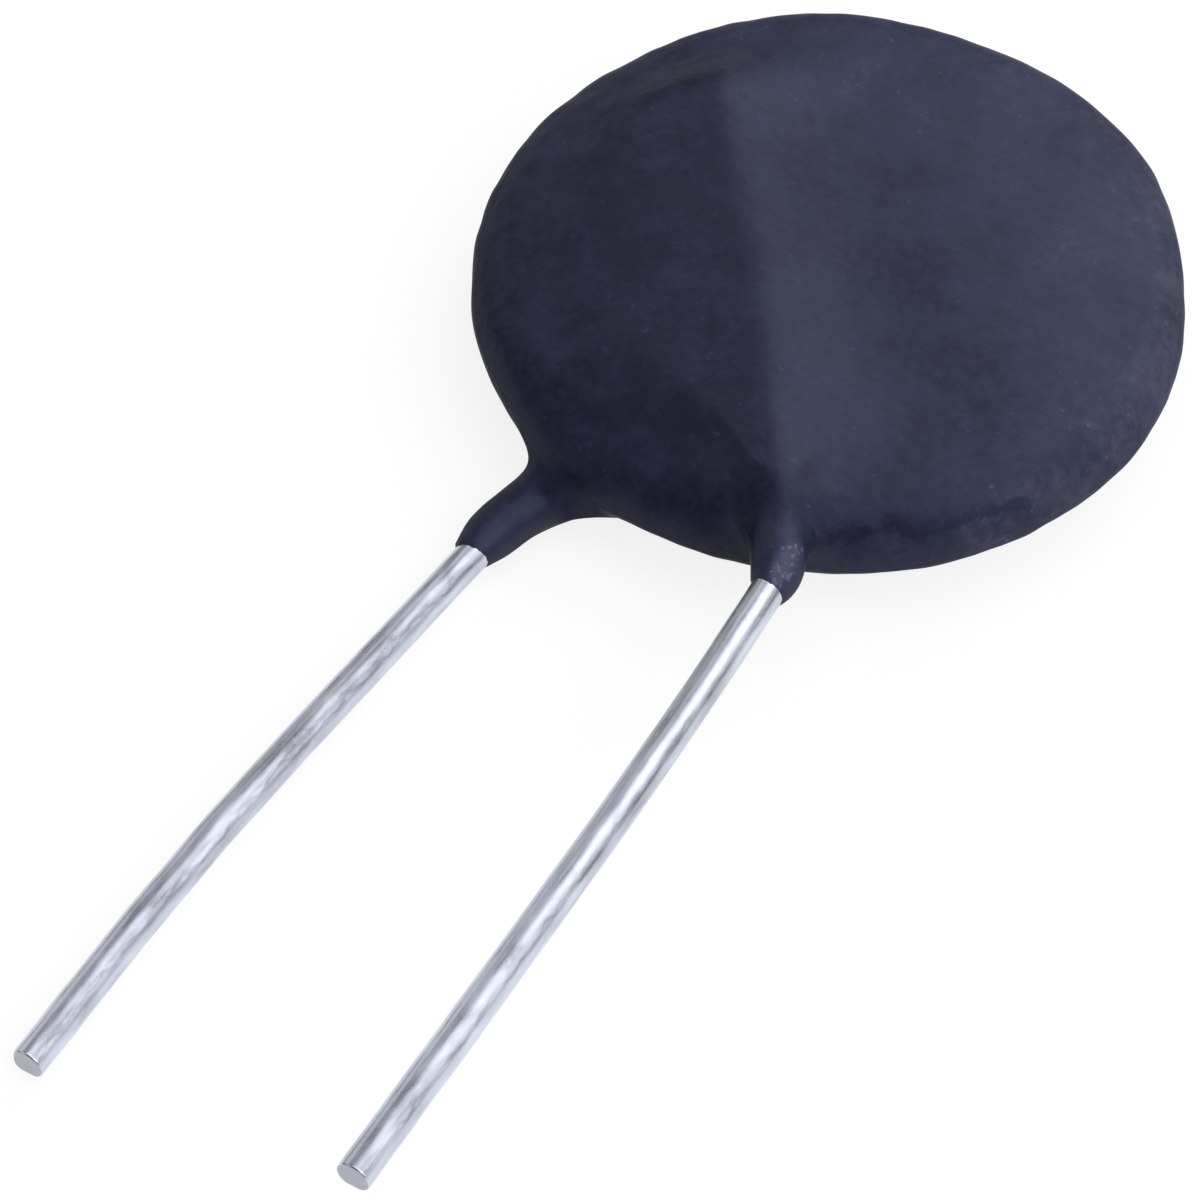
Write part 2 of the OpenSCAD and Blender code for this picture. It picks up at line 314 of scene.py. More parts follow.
def neckDistance(points, lead):
    # distance to the resin round one wire: a round form along the slanted run, round a wide bend
    # and along the splayed run, where its radius falls as a quarter of a sine wave to the wire's
    # own, and closes inside the wire as a quarter of an ellipse
    elbow = np.array([*lead["elbow"], lead["height"]])
    inDirection, outDirection = -heading(wire["slant"]), heading(lead["splay"])
    halfTurn = math.radians(wire["slant"] - lead["splay"]) / 2
    straightFrom = coat["bendRadius"] * math.tan(halfTurn)
    towardsHub = inDirection + outDirection
    hub = elbow + towardsHub / np.linalg.norm(towardsHub) * coat["bendRadius"] / math.cos(halfTurn)
    fromElbow, fromHub = points - elbow, points - hub
    inward, outward = fromElbow @ inDirection, fromElbow @ outDirection
    alongSlant = np.clip(inward, straightFrom, coat["rootLength"])[:, None] * inDirection
    alongSplay = np.maximum(outward, straightFrom)[:, None] * outDirection
    onSlant = np.linalg.norm(fromElbow - alongSlant, axis=1)
    onSplay = np.linalg.norm(fromElbow - alongSplay, axis=1)
    onBend = np.hypot(np.hypot(fromHub[:, 0], fromHub[:, 1]) - coat["bendRadius"], fromHub[:, 2])
    onBend = np.where((inward < straightFrom) & (outward < straightFrom), onBend, np.inf)
    outerSide = np.array([-outDirection[1], outDirection[0], 0])
    fromEnd = neckReach(lead) - outward + coat["neckEndSlant"] * (fromElbow @ outerSide)
    radius = wire["radius"] + coat["neckLip"] * smoothStep(fromEnd, *coat["lipRun"])
    taper = np.sin(np.clip(fromEnd / coat["neckTaper"], 0, 1) * math.pi / 2)
    radius += (coat["neckRadius"] - radius) * taper
    closing = np.clip(-fromEnd / coat["capLength"], 0, 1)
    radius *= np.sqrt(np.maximum(1 - closing ** 2, 0)) * coat["capShare"] ** (fromEnd < 0)
    beyond = np.maximum(-fromEnd - coat["capLength"], 0)
    gap = np.minimum(onSplay, np.minimum(onSlant, onBend)) - radius
    return np.hypot(np.maximum(gap, 0), beyond) + np.minimum(gap, 0)


def coatDistance(points, lumpy=True):
    # near enough the distance to the coat: a pill with rounded rim and uneven faces, blended
    # with both necks. The rear half is worked out as the front half is, turned half a turn about Y
    x, y, z = points.T
    angle = np.arctan2(y, x)
    edge = coatRadius + sum(size * np.cos(count * angle - math.radians(turn))
                            for count, size, turn in coat["edgeWaves"])
    front, rear = faceHeightAt(x, y, leads["front"]), faceHeightAt(-x, y, leads["rear"])
    halfHeight = np.where(z > 0, front, rear)
    pastEdge = np.hypot(x, y) - (edge - coat["rimRadius"])
    pastFace = np.abs(z) - (halfHeight - coat["rimRadius"])
    pill = np.hypot(np.maximum(pastEdge, 0), np.maximum(pastFace, 0))
    pill += np.minimum(np.maximum(pastEdge, pastFace), 0) - coat["rimRadius"]
    for lead in leads.values():
        turned = points * [lead["side"], 1, lead["side"]]
        underCrest = 1 - smoothStep(turned[:, 2], lead["height"], crestHeight - coat["blendDrop"])
        blend = coat["crestBlend"] + (coat["neckBlend"] - coat["crestBlend"]) * underCrest
        pill = softUnion(pill, neckDistance(turned, lead), blend)
    if not lumpy:
        return pill
    rimShare = smoothStep(np.hypot(x, y), *coat["rimFrom"])
    pill = pill - coat["faceLumps"] * faceLumps(points)
    return pill - coat["rimLumps"] * rimShare * rimLumps(points)


# the grid of points that is wrapped round the coat
grid = dict(
    around=500, down=188,   # points round the axis, and down the profile
    neckSpread=12,          # half width of the finer columns at each neck, in degrees
    neckFineness=2.6,
    rimSpread=4.2,          # half width of the finer rows at the rim
    rimFineness=2.4,
    rimBand=0.02,           # added to the straight part of the edge
    rootInward=1.3,         # a neck leaves the rim this far inward of its elbow
    rootTurn=38,            # and this far round the curve of the rim, in degrees
    blockAround=2.1,        # half size of the round patch of cells that is drawn out into a neck
    blockDown=2.3,
    pastEnd=0.3,            # the patch's middle is drawn this far past the neck's end
    intoDisc=1.1,           # and its last ring this far inward of the elbow
    elbowRun=1,             # the rings turn over this length on each side of the elbow
    lastRing=0.78,          # that ring's size, as a share of the patch
    ringPower=0.9,
    endRing=0.16,           # the rings up to this one close the neck's end
    givingWay=(0.62, 1.0),  # between these rings the drawn form gives way to the disc's
    looseFrom=(0.25, 0.45),  # between these rings the points begin to even out
    looseFall=(2, 1.6),     # further out they do so by this much, less this times the ring
    loosest=0.8,
    evenings=24,
    firstPulls=4,           # how often the points are pulled, before they even out
    lastPulls=2,            # and onto the lumps
    polePulls=6,
    probe=0.004,            # step over which the slope is measured
    longestMove=0.5,
    leastSlope=0.2,         # square of the slope below which a move isn't lengthened
    poleStart=2,            # height from which the middle of each face is pulled in
)


def pullToCoat(points, steps, lumpy=True):
    # each step moves the points down the slope of the distance, by the distance over the slope
    for step in range(steps):
        here = coatDistance(points, lumpy)
        ahead = [coatDistance(points + grid["probe"] * axis, lumpy) for axis in np.eye(3)]
        slope = (np.stack(ahead, axis=1) - here[:, None]) / grid["probe"]
        steepness = np.maximum((slope ** 2).sum(1), grid["leastSlope"])
        move = np.clip(here, -grid["longestMove"], grid["longestMove"])
        points = points - move[:, None] * slope / steepness[:, None]
    return points


def spaced(count, low, high, density):
    # points from low to high whose spacing is the inverse of the density: equal steps of its
    # running sum over many fine samples
    samples = 4001
    fine = np.linspace(low, high, samples)
    weight = density(fine)
    running = np.concatenate([[0], np.cumsum((weight[1:] + weight[:-1]) / 2)])
    return np.interp(np.linspace(0, running[-1], count), running, fine)


def neckRootAngle(lead):
    # where the slanted run crosses the rounded rim, as seen along the disc's axis
    start = np.array(lead["elbow"]) - heading(wire["slant"])[:2] * grid["rootInward"]
    return math.degrees(math.atan2(start[1], lead["side"] * start[0]))


def coatSurface():
    # a grid: one way runs round the axis, the other down a profile from the middle of the front
    # face, over a quarter circle, the straight edge and a quarter circle, to the rear middle
    necks = [neckRootAngle(lead) for lead in leads.values()]
    rimRadius = coat["rimRadius"]
    flat, quarter = coatRadius - rimRadius, rimRadius * math.pi / 2
    lowHeight = coat["faceHeight"] - rimRadius
    band = 2 * lowHeight + grid["rimBand"]
    profileLength = 2 * flat + 2 * quarter + band

    def aroundDensity(degrees):
        return 1 + grid["neckFineness"] * sum(
            np.exp(-((degrees - neck) / grid["neckSpread"]) ** 4) for neck in necks)

    def downDensity(place):
        fromRim = (place - profileLength / 2) / grid["rimSpread"]
        return 1 + grid["rimFineness"] * np.exp(-fromRim ** 6)
    angles = np.radians(spaced(grid["around"] + 1, -180, 180, aroundDensity))[:-1]
    place = spaced(grid["down"] + 2, 0, profileLength, downDensity)[1:-1]
    place = np.where(place > profileLength / 2, profileLength - place, place)
    frontSide = np.arange(len(place)) < len(place) / 2
    turn = np.clip((place - flat) / rimRadius, 0, math.pi / 2)
    fromAxis = np.minimum(place, flat) + rimRadius * np.sin(turn)
    height = lowHeight + rimRadius * np.cos(turn) - np.maximum(place - flat - quarter, 0)
    height = np.where(frontSide, height, -height)
    x, y = np.outer(fromAxis, np.cos(angles)), np.outer(fromAxis, np.sin(angles))
    points = np.stack(np.broadcast_arrays(x, y, height[:, None]), axis=2)
    return points, angles, place, frontSide, profileLength


def drawNeckOut(points, angles, down, lead):
    # a round patch of the grid is drawn out along the wire: the patch's middle becomes the end of
    # the neck, and each circle round it becomes a ring round the wire
    side = lead["side"]
    fromRoot = (angles - math.radians(neckRootAngle(lead)) + math.pi) % (2 * math.pi) - math.pi
    a = fromRoot * coatRadius / grid["blockAround"]
    b = down[:, None] / grid["blockDown"]
    ring, ringTurn = np.hypot(a, b), np.arctan2(b, a)
    outLength = neckReach(lead) + grid["pastEnd"]
    inShare = np.clip(ring / grid["lastRing"], 0, 1) ** grid["ringPower"]
    station = (outLength - (outLength + grid["intoDisc"]) * inShare)[..., None]
    outHeading, slantHeading = heading(lead["splay"]), heading(wire["slant"])
    along = np.where(station > 0, station * outHeading, station * slantHeading)
    turnShare = smoothStep(station, -grid["elbowRun"], grid["elbowRun"])
    forward = outHeading * turnShare + slantHeading * (1 - turnShare)
    forward /= np.linalg.norm(forward, axis=2)[..., None]
    sideways = np.stack([-forward[..., 1], forward[..., 0], np.zeros(ring.shape)], axis=2)
    upright = np.array([0.0, 0.0, 1.0])
    radius = coat["neckRadius"] * np.sqrt(np.clip(ring / grid["endRing"], 0, 1))
    outwards = np.cos(ringTurn)[..., None] * sideways + np.sin(ringTurn)[..., None] * upright
    elbow = np.array([*lead["elbow"], lead["height"]])
    drawn = (elbow + along + radius[..., None] * outwards * side) * [side, 1, side]
    share = (1 - smoothStep(ring, *grid["givingWay"]))[..., None]
    return points * (1 - share) + drawn * share, ring


def makeCoat(material):
    # the grid with both necks drawn out is pulled onto the coat's smooth form, and evened out about
    # the necks, each point towards the mean of its four neighbours. The lumps come last
    points, angles, place, frontSide, profileLength = coatSurface()
    rootPlace = coatRadius - coat["rimRadius"] + coat["rimRadius"] * math.radians(grid["rootTurn"])
    rings = []
    for lead in leads.values():
        ownPlace = np.where(frontSide == (lead["side"] > 0), place, profileLength - place)
        points, ring = drawNeckOut(points, angles, (rootPlace - ownPlace) * lead["side"], lead)
        rings.append(ring)
    rows, columns = points.shape[:2]
    points = pullToCoat(points.reshape(-1, 3), grid["firstPulls"], lumpy=False)
    ring = np.minimum(*rings).reshape(-1)
    most, fall = grid["looseFall"]
    loose = smoothStep(ring, *grid["looseFrom"]) * np.clip(most - fall * ring, 0, grid["loosest"])
    free = np.flatnonzero(loose > 0)
    row, column = np.divmod(free, columns)
    beside = [np.clip(row - 1, 0, None) * columns + column,
              np.clip(row + 1, None, rows - 1) * columns + column,
              row * columns + (column + 1) % columns,
              row * columns + (column - 1) % columns]
    for step in range(grid["evenings"]):
        mean = sum(points[k] for k in beside) / 4
        moved = points[free] + loose[free, None] * (mean - points[free])
        points[free] = pullToCoat(moved, 1, lumpy=False)
    points = pullToCoat(points, grid["lastPulls"])
    poles = np.array([[0.0, 0, grid["poleStart"]], [0, 0, -grid["poleStart"]]])
    points = np.concatenate([points, pullToCoat(poles, grid["polePulls"])])
    return makePiece("coatSkin", points, closedFaces(rows, columns), material, "coating")


def startMaterial(name):
    # a material with its shader, and the object's own coordinates to read
    material = bpy.data.materials.new(name)
    material.use_nodes = True
    tree = material.node_tree
    coordinates = tree.nodes.new("ShaderNodeTexCoord").outputs["Object"]
    return material, tree, tree.nodes["Principled BSDF"], coordinates


def addStretch(tree, coordinates, stretch, shift=(0, 0, 0)):
    # coordinates times the stretch, plus the shift
    mapping = tree.nodes.new("ShaderNodeMapping")
    mapping.inputs["Scale"].default_value = stretch
    mapping.inputs["Location"].default_value = shift
    tree.links.new(coordinates, mapping.inputs["Vector"])
    return mapping.outputs["Vector"]


def addNoise(tree, coordinates, grain, detail, roughness, stretch=None):
    # cloudy noise whose patches are about grain millimetres across
    if stretch:
        coordinates = addStretch(tree, coordinates, stretch)
    noise = tree.nodes.new("ShaderNodeTexNoise")
    for name, number in (("Scale", 1 / (grain * mm)), ("Detail", detail), ("Roughness", roughness)):
        noise.inputs[name].default_value = number
    tree.links.new(coordinates, noise.inputs["Vector"])
    return noise.outputs["Fac"]


def addMath(tree, operation, *values):
    # a sum, product or the like of values that are nodes' outputs or plain numbers
    step = tree.nodes.new("ShaderNodeMath")
    step.operation = operation
    for socket, value in zip(step.inputs, values):
        if isinstance(value, bpy.types.NodeSocket):
            tree.links.new(value, socket)
        else:
            socket.default_value = value
    return step.outputs[0]


def addSum(tree, start, *parts):
    # start plus each value times its share
    total = start
    for value, share in parts:
        total = addMath(tree, "MULTIPLY_ADD", value, share, total)
    return total


def addShares(tree, start, marks, shares):
    # start plus each named mark times its share
    return addSum(tree, start, *((marks[name], share) for name, share in shares.items()))


def addRange(tree, value, fromRange, toRange):
    # an even change from one end of toRange to the other, while the value crosses fromRange
    spread = tree.nodes.new("ShaderNodeMapRange")
    for name, number in zip(("From Min", "From Max", "To Min", "To Max"), (*fromRange, *toRange)):
        spread.inputs[name].default_value = number
    tree.links.new(value, spread.inputs["Value"])
    return spread.outputs["Result"]


def addRamp(tree, value, stops):
    # a colour between the two stops on either side of the value
    ramp = tree.nodes.new("ShaderNodeValToRGB")
    elements = ramp.color_ramp.elements
    while len(elements) < len(stops):
        elements.new(0.5)
    for element, (place, color) in zip(elements, stops):
        element.position = place
        element.color = (*color, 1)
    tree.links.new(value, ramp.inputs["Fac"])
    return ramp.outputs["Color"]


def addBump(tree, height, depth, normal=None):
    # a surface that rises with the height, by depth millimetres from 0 to 1
    bump = tree.nodes.new("ShaderNodeBump")
    bump.inputs["Distance"].default_value = depth * mm
    tree.links.new(height, bump.inputs["Height"])
    if normal:
        tree.links.new(normal, bump.inputs["Normal"])
    return bump.outputs["Normal"]


def addDistance(tree, coordinates, place, stretch=(1, 1, 1)):
    # distance in millimetres from a place, with each direction stretched
    shifted = addStretch(tree, coordinates, np.array(stretch) / mm, -(middle + place) * stretch)
    length = tree.nodes.new("ShaderNodeVectorMath")
    length.operation = "LENGTH"
    tree.links.new(shifted, length.inputs[0])
    return length.outputs["Value"]


def addAlong(tree, vector, direction):
    # how far a vector runs along a direction
    dot = tree.nodes.new("ShaderNodeVectorMath")
    dot.operation = "DOT_PRODUCT"
    tree.links.new(vector, dot.inputs[0])
    dot.inputs[1].default_value = direction
    return dot.outputs["Value"]


rising, falling = (0, 1), (1, 0)
resinLook = dict(
    # each noise: size of its patches in millimetres, detail, roughness
    noises=dict(clouds=(4.5, 3, 0.55), patches=(1.3, 4, 0.6), grain=(0.3, 3, 0.6),
                specks=(0.24, 1, 0.4), dimples=(0.9, 3, 0.5), glintNoise=(0.16, 1, 0.4)),
    rimFrom=(9.2, 10.2),       # the rim begins between these distances from the axis
    neckFrom=(10.9, 11.4),     # and the necks between these
    paleAwayFrom=(-1.5, -5, 0),  # painted light: the coat is paler away from this place
    paleFrom=(6.8, 11.4),      # between these distances
    paleWobble=3.0,
    darkBandHeight=0.9,            # a dark band runs along the rim at this height
    darkBandEdge=(0.12, 0.24),     # half its width, from full to nothing
    darkBandWobble=1.2,
    darkBandPlace=(7.3, -7.4, 1),  # and only round this place
    darkBandReach=(3.0, 3.7),
    neckHighlightPlace=(5.08, -11.5, 2.2),  # a patch of painted highlight, with pale specks of painted glints, lies on the front neck
    neckHighlightStretch=(1.0, 0.34, 0.6),
    neckHighlightEdge=(0.2, 0.42),
    neckHighlightWobble=0.5,
    glintFrom=(0.58, 0.66),     # the noise counts as a painted glint between these values
    dustFrom=(0.70, 0.80),     # and as dust between these
    innerEdge=(-0.6, 0.4),     # painted shade on the inner side of the front ridge ends here, across its crest
    innerRun=(-8, 0),          # and deepens from here on, more and more
    innerShade=(0.3, 1),
    tone=-0.48,                # place on the ramp before the shares are added
    # among the tone's shares are painted light away from one place and on the rim, painted shade on
    # the ridge's inner side, and a painted highlight with painted glints on the front neck
    toneShares=dict(clouds=0.42, patches=0.48, grain=0.36, paintedLight=0.26, dust=0.25, inner=-0.14,
                    darkBand=-0.13, paintedNeckHighlight=0.38, paintedGlints=1.2, rim=0.17, neck=-0.11),
    ramp=[(0, (0.0055, 0.0062, 0.0165)), (0.5, (0.029, 0.0315, 0.064)), (1, (0.10, 0.10, 0.15))],
    roughness=(0.42, 0.52),
    roughnessFrom=(0.3, 0.7),  # while the patches' noise crosses these values
    specularTint=(0.54, 0.59, 1.0, 1),
    sheen=0.5,                 # specular level, with its shares
    sheenShares=dict(rim=-0.36, neck=0.36),
    grazing=(0.3, 0.66),       # the sheen falls while the surface turns away by these shares
    grazingSheen=(1.0, 0.12),
    dimpleDepth=0.03,
    grainDepth=0.008,
)


def makeResin():
    # dull dipped resin. Its tone is a weighted sum of noises and masks, some of them painted light
    # and shade, and a mask is a distance from a place, mostly with the patches' noise added,
    # brought to between 0 and 1
    look = resinLook
    material, tree, shader, coordinates = startMaterial("resin")
    marks = {name: addNoise(tree, coordinates, *values) for name, values in look["noises"].items()}
    wobble = addSum(tree, -0.5, (marks["patches"], 1.0))

    def unevenDistance(place, stretch, share):
        return addSum(tree, addDistance(tree, coordinates, place, stretch), (wobble, share))
    fromAxis = addDistance(tree, coordinates, (0, 0, 0), (1, 1, 0))
    # on the rim the sheen is lowered, and the rim's share of the tone is painted light in place of
    # that sheen
    marks["rim"] = addRange(tree, fromAxis, look["rimFrom"], rising)
    marks["neck"] = addRange(tree, fromAxis, look["neckFrom"], rising)
    # painted light: the coat grows paler away from a place, towards the side where most lamps stand
    paintedLight = unevenDistance(look["paleAwayFrom"], (1, 1, 0), look["paleWobble"])
    marks["paintedLight"] = addRange(tree, paintedLight, look["paleFrom"], rising)
    # a dark band along the rim at one height, only round one place
    darkBandLine = unevenDistance((0, 0, look["darkBandHeight"]), (0, 0, 1), look["darkBandWobble"])
    darkBandSpan = addDistance(tree, coordinates, look["darkBandPlace"])
    marks["darkBand"] = addMath(tree, "MULTIPLY", addRange(tree, darkBandLine, look["darkBandEdge"], falling),
                            addRange(tree, darkBandSpan, look["darkBandReach"], falling))
    # a painted highlight on the front neck, with specks in it that are painted glints
    paintedNeckHighlight = unevenDistance(look["neckHighlightPlace"], look["neckHighlightStretch"], look["neckHighlightWobble"])
    marks["paintedNeckHighlight"] = addRange(tree, paintedNeckHighlight, look["neckHighlightEdge"], falling)
    marks["paintedGlints"] = addMath(tree, "MULTIPLY", marks["paintedNeckHighlight"],
                              addRange(tree, marks["glintNoise"], look["glintFrom"], rising))
    marks["dust"] = addRange(tree, marks["specks"], look["dustFrom"], rising)
    # painted shade on the inner side of the front ridge, deepest beside its crest
    slant = math.radians(wire["slant"])
    acrossRidge = np.array([math.cos(slant), math.sin(slant), 0])
    crestPlace = (middle[:2] + leads["front"]["elbow"]) @ acrossRidge[:2]
    across = addAlong(tree, coordinates, acrossRidge / mm)
    marks["inner"] = addMath(
        tree, "MULTIPLY", addRange(tree, across, crestPlace + look["innerEdge"], falling),
        addRange(tree, across, crestPlace + look["innerRun"], look["innerShade"]))
    tone = addShares(tree, look["tone"], marks, look["toneShares"])
    tree.links.new(addRamp(tree, tone, look["ramp"]), shader.inputs["Base Color"])
    roughness = addRange(tree, marks["patches"], look["roughnessFrom"], look["roughness"])
    tree.links.new(roughness, shader.inputs["Roughness"])
    shader.inputs["Specular Tint"].default_value = look["specularTint"]
    edge = tree.nodes.new("ShaderNodeLayerWeight")
    grazing = addRange(tree, edge.outputs["Facing"], look["grazing"], look["grazingSheen"])
    sheen = addShares(tree, look["sheen"], marks, look["sheenShares"])
    tree.links.new(addMath(tree, "MULTIPLY", sheen, grazing), shader.inputs["Specular IOR Level"])
    dimpled = addBump(tree, marks["dimples"], look["dimpleDepth"])
    normal = addBump(tree, marks["grain"], look["grainDepth"], dimpled)
    tree.links.new(normal, shader.inputs["Normal"])
    return material


tinLook = dict(
    # each noise: size of its patches in millimetres, detail, roughness, share along each axis
    noises=dict(streaks=(0.4, 3, 0.5, (1.0, 0.25, 1.0)), mottle=(1.6, 3, 0.5, (1.0, 0.25, 1.0)),
                ripple=(0.5, 1, 0.5), serration=(0.5, 2, 0.5, (1.0, 0.5, 1.0))),
    darkReflectionAcross=(0.731, 0, -0.683),  # a line of painted dark reflection runs where the surface is square to this
    darkReflectionWobble=1.1,
    darkReflectionEdge=(0.03, 0.13),  # half its width, from full to nothing
    cutFrom=(0.75, 0.95),      # the cut ends are the surface that faces along the wire by this much
    tone=-0.35,
    toneShares=dict(streaks=1.0, mottle=0.7, darkReflection=-0.24, cut=-0.38),
    ramp=[(0.15, (0.40, 0.41, 0.47)), (0.5, (0.60, 0.63, 0.73)), (0.8, (0.75, 0.79, 0.90))],
    roughness=(0.27, 0.37),
    roughnessFrom=(0.35, 0.7),  # while the streaks' noise crosses these values
    rippleDepth=0.008,
)


def makeTin():
    # tinned wire: bright, with dull streaks and mottling that run along it, a broken line of
    # painted dark reflection along one side, and duller ends where it was cut. The tone is a
    # weighted sum of them
    look = tinLook
    material, tree, shader, coordinates = startMaterial("tinnedWire")
    marks = {name: addNoise(tree, coordinates, *values) for name, values in look["noises"].items()}
    surface = tree.nodes.new("ShaderNodeTexCoord").outputs["Normal"]
    wobble = addSum(tree, -0.5, (marks["serration"], 1.0))
    # painted dark reflection: a dark line where the surface faces one fixed way
    across = addAlong(tree, surface, look["darkReflectionAcross"])
    fromLine = addMath(tree, "ABSOLUTE", addSum(tree, across, (wobble, look["darkReflectionWobble"])))
    marks["darkReflection"] = addRange(tree, fromLine, look["darkReflectionEdge"], falling)
    marks["cut"] = addRange(tree, addAlong(tree, surface, (0, -1, 0)), look["cutFrom"], rising)
    tone = addShares(tree, look["tone"], marks, look["toneShares"])
    tree.links.new(addRamp(tree, tone, look["ramp"]), shader.inputs["Base Color"])
    shader.inputs["Metallic"].default_value = 1
    roughness = addRange(tree, marks["streaks"], look["roughnessFrom"], look["roughness"])
    tree.links.new(roughness, shader.inputs["Roughness"])
    tree.links.new(addBump(tree, marks["ripple"], look["rippleDepth"]), shader.inputs["Normal"])
    return material


# what lies inside the coat keeps its solids. Each noise is the size of its patches in millimetres,
# its detail and its roughness, weave and crystals are how many there are to a metre, and depth is
# the height of the bump in millimetres
insideLook = dict(
    ceramic=dict(grain=(0.15, 4, 0.7), roughness=0.85, depth=0.01,
                 ramp=[(0.3, (0.018, 0.017, 0.016)), (0.7, (0.055, 0.050, 0.047))]),
    silver=dict(cloud=(0.8, 4, 0.6), weave=900, distortion=1.5, depth=0.004,
                roughness=(0.45, 0.62), roughnessFrom=(0.3, 0.7),
                ramp=[(0.3, (0.62, 0.60, 0.56)), (0.7, (0.80, 0.79, 0.76))]),
    solder=dict(ripple=(0.6, 3, 0.5), crystals=2600, depth=0.03,
                roughness=(0.22, 0.4), roughnessFrom=(0, 0.8),
                ramp=[(0.1, (0.60, 0.61, 0.63)), (0.8, (0.74, 0.75, 0.78))]),
)


def makeCeramic():
    # sintered oxide: near black, speckled and matt, all by one fine noise
    look = insideLook["ceramic"]
    material, tree, shader, coordinates = startMaterial("ceramic")
    grain = addNoise(tree, coordinates, *look["grain"])
    tree.links.new(addRamp(tree, grain, look["ramp"]), shader.inputs["Base Color"])
    shader.inputs["Roughness"].default_value = look["roughness"]
    tree.links.new(addBump(tree, grain, look["depth"]), shader.inputs["Normal"])
    return material


def makeFiredSilver():
    # printed and fired film: pale and cloudy, with the weave of the printing screen as bump
    look = insideLook["silver"]
    material, tree, shader, coordinates = startMaterial("firedSilver")
    weave = tree.nodes.new("ShaderNodeTexWave")
    weave.inputs["Scale"].default_value = look["weave"]
    weave.inputs["Distortion"].default_value = look["distortion"]
    tree.links.new(coordinates, weave.inputs["Vector"])
    cloud = addNoise(tree, coordinates, *look["cloud"])
    tree.links.new(addRamp(tree, cloud, look["ramp"]), shader.inputs["Base Color"])
    shader.inputs["Metallic"].default_value = 1
    roughness = addRange(tree, cloud, look["roughnessFrom"], look["roughness"])
    tree.links.new(roughness, shader.inputs["Roughness"])
    tree.links.new(addBump(tree, weave.outputs["Fac"], look["depth"]), shader.inputs["Normal"])
    return material


def makeSolder():
    # frozen solder: smooth, with soft ripples as bump, and crystals whose edges are duller
    look = insideLook["solder"]
    material, tree, shader, coordinates = startMaterial("solder")
    crystals = tree.nodes.new("ShaderNodeTexVoronoi")
    crystals.inputs["Scale"].default_value = look["crystals"]
    tree.links.new(coordinates, crystals.inputs["Vector"])
    fromSeed = crystals.outputs["Distance"]
    tree.links.new(addRamp(tree, fromSeed, look["ramp"]), shader.inputs["Base Color"])
    shader.inputs["Metallic"].default_value = 1
    roughness = addRange(tree, fromSeed, look["roughnessFrom"], look["roughness"])
    tree.links.new(roughness, shader.inputs["Roughness"])
    ripple = addNoise(tree, coordinates, *look["ripple"])
    tree.links.new(addBump(tree, ripple, look["depth"]), shader.inputs["Normal"])
    return material


def dressSolids(material, *names):
    # gives each carried-over solid its material, in all of its slots
    for name in names:
        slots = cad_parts[name].data.materials
        for k in range(len(slots)):
            slots[k] = material


resin = makeResin()
tin = makeTin()
dressSolids(makeCeramic(), "ceramic_disc")
dressSolids(makeFiredSilver(), "front_electrode", "rear_electrode")
dressSolids(makeSolder(), "front_solder", "rear_solder")
print("materials made")
makeCoat(resin)
for lead in leads.values():
    makeLead(lead, tin)

# azimuth is measured from -Y towards +X, and aim is the place that the camera looks at
cameraView = dict(azimuth=31.61, elevation=51.52, roll=0.14, distance=149.5, lens=158.97, sensor=36,
                  clip=(0.005, 10), aim=(0.47, -13.70, 0.0))


def makeCamera():
    # the camera stands back from its aim, along a direction given by the two angles
    data = bpy.data.cameras.new("camera")
    camera = bpy.data.objects.new("camera", data)
    bpy.context.scene.collection.objects.link(camera)
    turn, tilt = math.radians(cameraView["azimuth"]), math.radians(cameraView["elevation"])
    level = np.array([math.sin(turn), -math.cos(turn), 0])
    back = level * math.cos(tilt) + [0, 0, math.sin(tilt)]
    place = np.array(cameraView["aim"]) + back * cameraView["distance"]
    camera.location = Vector(placeInFrame(place))
    look = Vector(-back).to_track_quat("-Z", "Y").to_matrix()
    roll = Matrix.Rotation(math.radians(cameraView["roll"]), 3, "Z")
    camera.rotation_euler = (look @ roll).to_euler()
    data.lens, data.sensor_width = cameraView["lens"], cameraView["sensor"]
    data.clip_start, data.clip_end = cameraView["clip"]
    bpy.context.scene.camera = camera


stage = dict(
    floorHalf=3.0,     # metres
    floorColor=0.8,
    shownGlow=0.85,    # where the floor is shown as white: its own white
    shownShare=0.18,   # and the share of its light, which keeps the soft shadow
    lampDistance=600,  # millimetres
    # soft panels of light: azimuth from +Y towards +X, elevation, width, height, brightness. Most
    # stand behind the disc and on its right, and a band of them over the wires draws the bright
    # line along each wire
    panels=dict(
        lineRight=(38, 40, 180, 180, 2.2),
        lineLeft=(11, 52, 330, 180, 2.4),
        lineLow=(51, 22, 150, 200, 0.9),
        lineMiddle=(22, 40, 120, 150, 1.6),
        back=(0, 28, 350, 220, 2.2),
        lowBack=(20, 10, 400, 150, 1.4),
        lowRight=(80, 10, 400, 150, 0.8),
        right=(85, 35, 350, 350, 2.6),
        frontRight=(125, 35, 350, 350, 1.6),
        highRight=(100, 62, 350, 300, 2.1),
        overhead=(0, 88, 350, 350, 1.9),
        backLeft=(-35, 40, 260, 260, 1.1),
        left=(-75, 25, 350, 350, 0.9),
        frontLeft=(-130, 35, 350, 350, 1.2),
    ),
)


